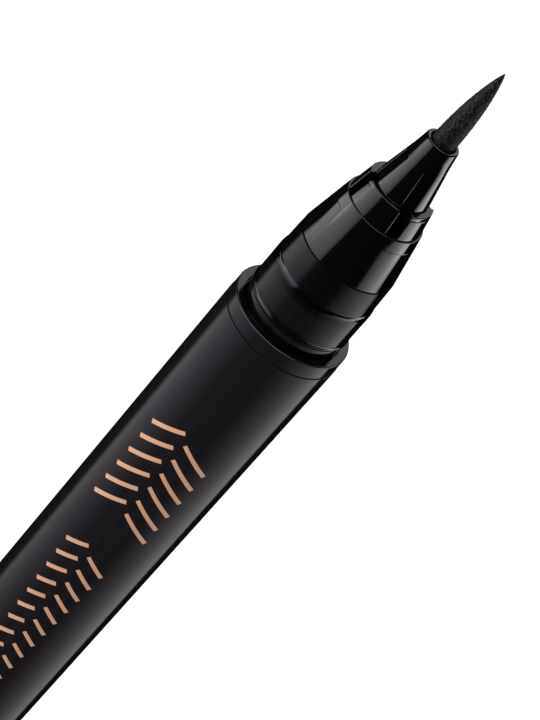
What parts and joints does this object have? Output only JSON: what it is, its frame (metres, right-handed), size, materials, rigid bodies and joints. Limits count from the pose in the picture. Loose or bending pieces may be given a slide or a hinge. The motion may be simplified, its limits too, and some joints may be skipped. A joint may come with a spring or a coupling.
{
  "type": "liquid eyeliner pen",
  "caption": "Slim black liquid eyeliner pen: fibre brush tip in a slotted holder, stepped front cone, tank barrel, and a snap cap posted on the tail as its stand.",
  "frame": {"origin": "centre of the flat closed end of the posted cap, on the surface that the pen stands on", "axes": "+Z along the pen from the cap to the brush tip; +X and +Y across it, with the first air slot turned 30 degrees from +X towards +Y"},
  "size_m": [0.0104, 0.0104, 0.1559],
  "materials": {
    "satin_black": "satin, fine moulded or lacquered surface with a faint purple cast",
    "section_black": "satin, with crisp polished ridges",
    "gloss_black": "polished moulding",
    "tip_fibre": "matte fibres wet with black ink",
    "core_fibre": "matte bonded fibre",
    "moulded_white": "plain unpainted moulding",
    "seal_rubber": "soft matte rubber",
    "spring_steel": "drawn wire",
    "ball_steel": "polished ball"
  },
  "bodies": {
    "cap": {"cap_shell": "satin_black", "cap_spring": "spring_steel"},
    "inner_cap": {"inner_cap": "gloss_black"},
    "pen": {"barrel": "satin_black", "tail_plug": "satin_black", "tail_seal": "seal_rubber", "tank_plug": "moulded_white", "tank_seal": "seal_rubber", "ink_collector": "moulded_white", "feed_core": "core_fibre", "front_section": "section_black", "section_seal": "seal_rubber", "front_cone": "gloss_black", "nib_holder": "gloss_black", "brush_tip": "tip_fibre"},
    "mixing_ball": {"mixing_ball": "ball_steel"}
  },
  "joints": [
    {"name": "cap_pull", "type": "slide", "parent": "cap", "child": "pen", "axis": [0, 0, 1], "range_m": [0, 0.03]},
    {"name": "inner_cap_press", "type": "slide", "parent": "cap", "child": "inner_cap", "axis": [0, 0, -1], "range_m": [0, 0.0017], "stiffness_N_per_m": 200, "springref_m": -0.002, "deforming": ["cap_spring"]},
    {"name": "ball_travel", "type": "slide", "parent": "pen", "child": "mixing_ball", "axis": [0, 0, 1], "range_m": [0, 0.054]}
  ]
}
